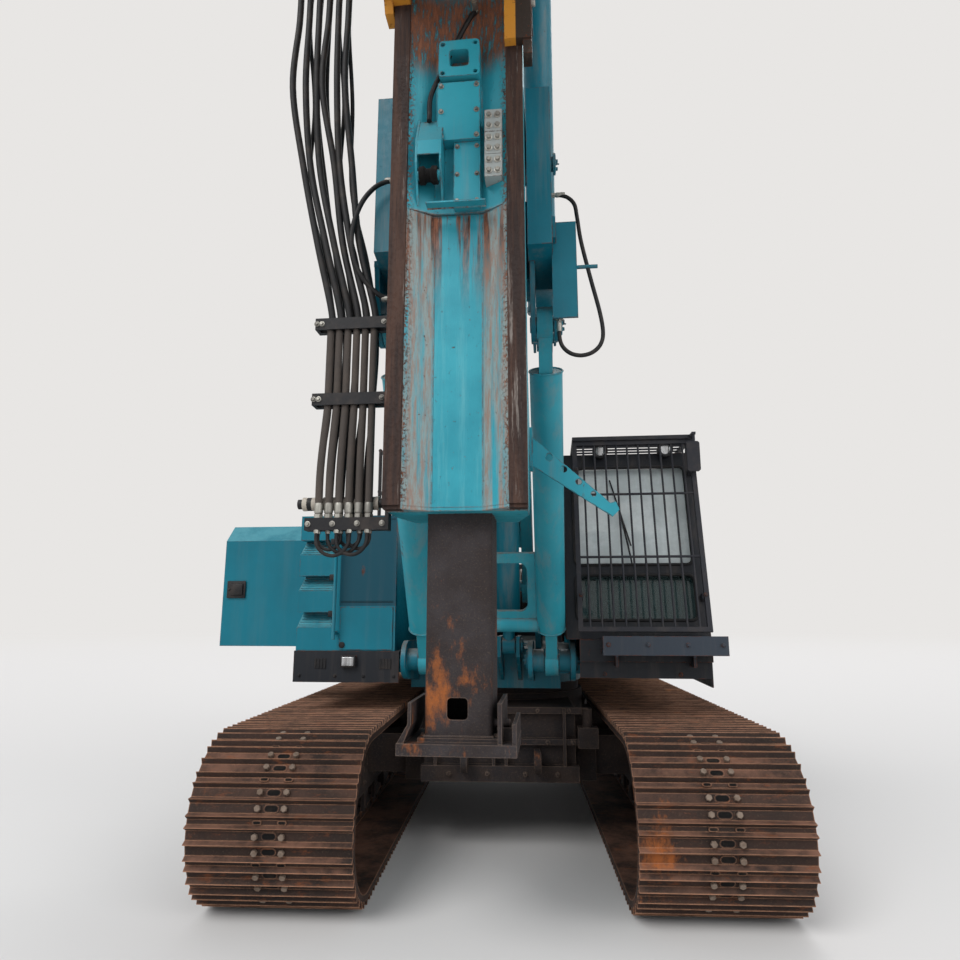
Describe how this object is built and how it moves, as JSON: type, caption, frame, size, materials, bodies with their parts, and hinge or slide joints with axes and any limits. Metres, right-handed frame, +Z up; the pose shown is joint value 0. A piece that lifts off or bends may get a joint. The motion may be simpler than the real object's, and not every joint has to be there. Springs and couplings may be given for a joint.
{
  "type": "rotary piling rig",
  "caption": "Crawler-mounted rotary piling rig with upright leader mast, boom linkage, rotary drive on a sledge, telescopic mast foot, guarded cab and counterweight.",
  "frame": {"origin": "on the ground under the slewing axis", "axes": "+Z up, upper structure's front toward -Y, cab on the +X side"},
  "size_m": [4.3719, 8.3598, 20.8798],
  "materials": {
    "track_steel": "rusty",
    "teal_paint": "semi-gloss, worn",
    "dark_teal_paint": "semi-gloss",
    "charcoal_paint": "satin",
    "yellow_paint": "worn",
    "black_paint": "satin",
    "bare_steel": "satin",
    "glass": "clear",
    "seat_cover": "matt",
    "rubber": "matt"
  },
  "bodies": {
    "undercarriage": {"car_body": "track_steel", "slew_ring": "bare_steel"},
    "track_left": {"track_frame_left": "track_steel", "crawler_left": "track_steel", "idler_left": "track_steel", "sprocket_left": "track_steel"},
    "track_right": {"track_frame_right": "track_steel", "crawler_right": "track_steel", "idler_right": "track_steel", "sprocket_right": "track_steel"},
    "upper": {"platform": "charcoal_paint", "skirts": "charcoal_paint", "front_box": "teal_paint", "front_bay": "teal_paint", "engine_hood": "teal_paint", "side_hood": "teal_paint", "engine_block": "charcoal_paint", "counterweight": "charcoal_paint", "guard_rails": "black_paint", "exhaust": "charcoal_paint", "winch_frame": "charcoal_paint", "cab_shell": "charcoal_paint", "cab_glass": "glass", "cab_guard": "charcoal_paint", "cab_roof_guard": "charcoal_paint", "cab_lamps": "black_paint", "cab_seat": "seat_cover", "valve_bank": "charcoal_paint"},
    "cab_door": {"cab_door": "charcoal_paint"},
    "hood_door_left": {"hood_door_left": "teal_paint"},
    "hood_door_right": {"hood_door_right": "teal_paint"},
    "main_winch": {"main_winch": "bare_steel"},
    "aux_winch": {"aux_winch": "bare_steel"},
    "boom": {"boom": "teal_paint"},
    "link_rods": {"link_rods": "teal_paint"},
    "luff_barrels": {"luff_barrels": "dark_teal_paint"},
    "luff_rods": {"luff_rods": "bare_steel"},
    "mast_bracket": {"mast_bracket": "dark_teal_paint"},
    "mast_barrels": {"mast_barrels": "dark_teal_paint"},
    "mast_rods": {"mast_rods": "bare_steel"},
    "mast": {"mast_lower": "teal_paint", "mast_upper": "teal_paint", "mast_fittings": "teal_paint", "mast_head": "teal_paint", "hose_carrier": "charcoal_paint", "mast_hoses": "rubber", "hook_arm": "teal_paint"},
    "head_sheave_main": {"head_sheave_main": "charcoal_paint"},
    "head_sheave_aux": {"head_sheave_aux": "charcoal_paint"},
    "crowd_winch": {"crowd_winch": "bare_steel"},
    "foot": {"foot_leg": "charcoal_paint", "foot_pad": "charcoal_paint"},
    "drive": {"drive_sledge": "yellow_paint", "rotary_drive": "teal_paint"},
    "drive_sleeve": {"drive_sleeve": "bare_steel"}
  },
  "joints": [
    {"name": "slew", "type": "hinge", "parent": "undercarriage", "child": "upper", "pos_m": [0, 0, 1.2], "axis": [0, 0, 1], "continuous": true},
    {"name": "track_left_slide", "type": "slide", "parent": "undercarriage", "child": "track_left", "axis": [-0.9986, -0.0523, 0], "range_m": [0, 0.5]},
    {"name": "track_right_slide", "type": "slide", "parent": "undercarriage", "child": "track_right", "axis": [0.9986, 0.0523, 0], "range_m": [0, 0.5]},
    {"name": "boom_luff", "type": "hinge", "parent": "upper", "child": "boom", "pos_m": [0, -0.75, 2.055], "axis": [1, 0, 0], "range_deg": [-13, 12]},
    {"name": "link_swing", "type": "hinge", "parent": "upper", "child": "link_rods", "pos_m": [0, -1.5, 1.455], "axis": [1, 0, 0], "range_deg": [-13, 12]},
    {"name": "bracket_level", "type": "hinge", "parent": "boom", "child": "mast_bracket", "pos_m": [0, -2.15, 4.21], "axis": [1, 0, 0], "range_deg": [-12, 13]},
    {"name": "luff_cylinder_swing", "type": "hinge", "parent": "upper", "child": "luff_barrels", "pos_m": [0, -1.33, 1.56], "axis": [1, 0, 0], "range_deg": [-11, 10]},
    {"name": "luff_cylinder_stroke", "type": "slide", "parent": "luff_barrels", "child": "luff_rods", "axis": [0, -0.1554, 0.9879], "range_m": [-0.15, 0.16]},
    {"name": "mast_tilt", "type": "hinge", "parent": "mast_bracket", "child": "mast", "pos_m": [0, -2.75, 4.85], "axis": [-1, 0, 0], "range_deg": [-5, 90]},
    {"name": "mast_cylinder_swing", "type": "hinge", "parent": "mast_bracket", "child": "mast_barrels", "pos_m": [0, -1.85, 3.95], "axis": [-1, 0, 0], "range_deg": [-5, 85]},
    {"name": "mast_cylinder_stroke", "type": "slide", "parent": "mast_barrels", "child": "mast_rods", "axis": [0, -0.1811, 0.9835], "range_m": [-1.76, 0.11]},
    {"name": "mast_foot", "type": "slide", "parent": "mast", "child": "foot", "axis": [0, 0, 1], "range_m": [-1.095, 0.25]},
    {"name": "drive_feed", "type": "slide", "parent": "mast", "child": "drive", "axis": [0, 0, 1], "range_m": [-2.4, 11]},
    {"name": "drive_rotation", "type": "hinge", "parent": "drive", "child": "drive_sleeve", "pos_m": [0, -4.4, 5.6], "axis": [0, 0, 1], "continuous": true},
    {"name": "main_winch_turn", "type": "hinge", "parent": "upper", "child": "main_winch", "pos_m": [0, 0.6, 2.05], "axis": [1, 0, 0], "continuous": true},
    {"name": "aux_winch_turn", "type": "hinge", "parent": "upper", "child": "aux_winch", "pos_m": [0, 1.75, 2.05], "axis": [1, 0, 0], "continuous": true},
    {"name": "crowd_winch_turn", "type": "hinge", "parent": "mast", "child": "crowd_winch", "pos_m": [0, -2.57, 7.2], "axis": [1, 0, 0], "continuous": true},
    {"name": "head_sheave_main_turn", "type": "hinge", "parent": "mast", "child": "head_sheave_main", "pos_m": [0, -4.07, 20.4], "axis": [1, 0, 0], "continuous": true},
    {"name": "head_sheave_aux_turn", "type": "hinge", "parent": "mast", "child": "head_sheave_aux", "pos_m": [0, -2.45, 20.3], "axis": [1, 0, 0], "continuous": true},
    {"name": "cab_door_hinge", "type": "hinge", "parent": "upper", "child": "cab_door", "pos_m": [1.678, -0.62, 2.3], "axis": [0, 0, 1], "range_deg": [0, 100]},
    {"name": "hood_door_left_hinge", "type": "hinge", "parent": "upper", "child": "hood_door_left", "pos_m": [-1.568, -1.095, 2], "axis": [0, 0, 1], "range_deg": [-90, 20]},
    {"name": "hood_door_right_hinge", "type": "hinge", "parent": "upper", "child": "hood_door_right", "pos_m": [1.678, 0.7, 2], "axis": [0, 0, -1], "range_deg": [0, 110]}
  ],
  "couplings": [
    {"joint": "link_swing", "follows": "boom_luff", "ratio": 1},
    {"joint": "bracket_level", "follows": "boom_luff", "ratio": -1},
    {"joint": "luff_cylinder_swing", "follows": "boom_luff", "ratio": 0.785},
    {"joint": "luff_cylinder_stroke", "follows": "boom_luff", "m_per_rad": -0.645},
    {"joint": "mast_cylinder_swing", "follows": "mast_tilt", "ratio": 0.9385},
    {"joint": "mast_cylinder_stroke", "follows": "mast_tilt", "m_per_rad": -1.117}
  ]
}
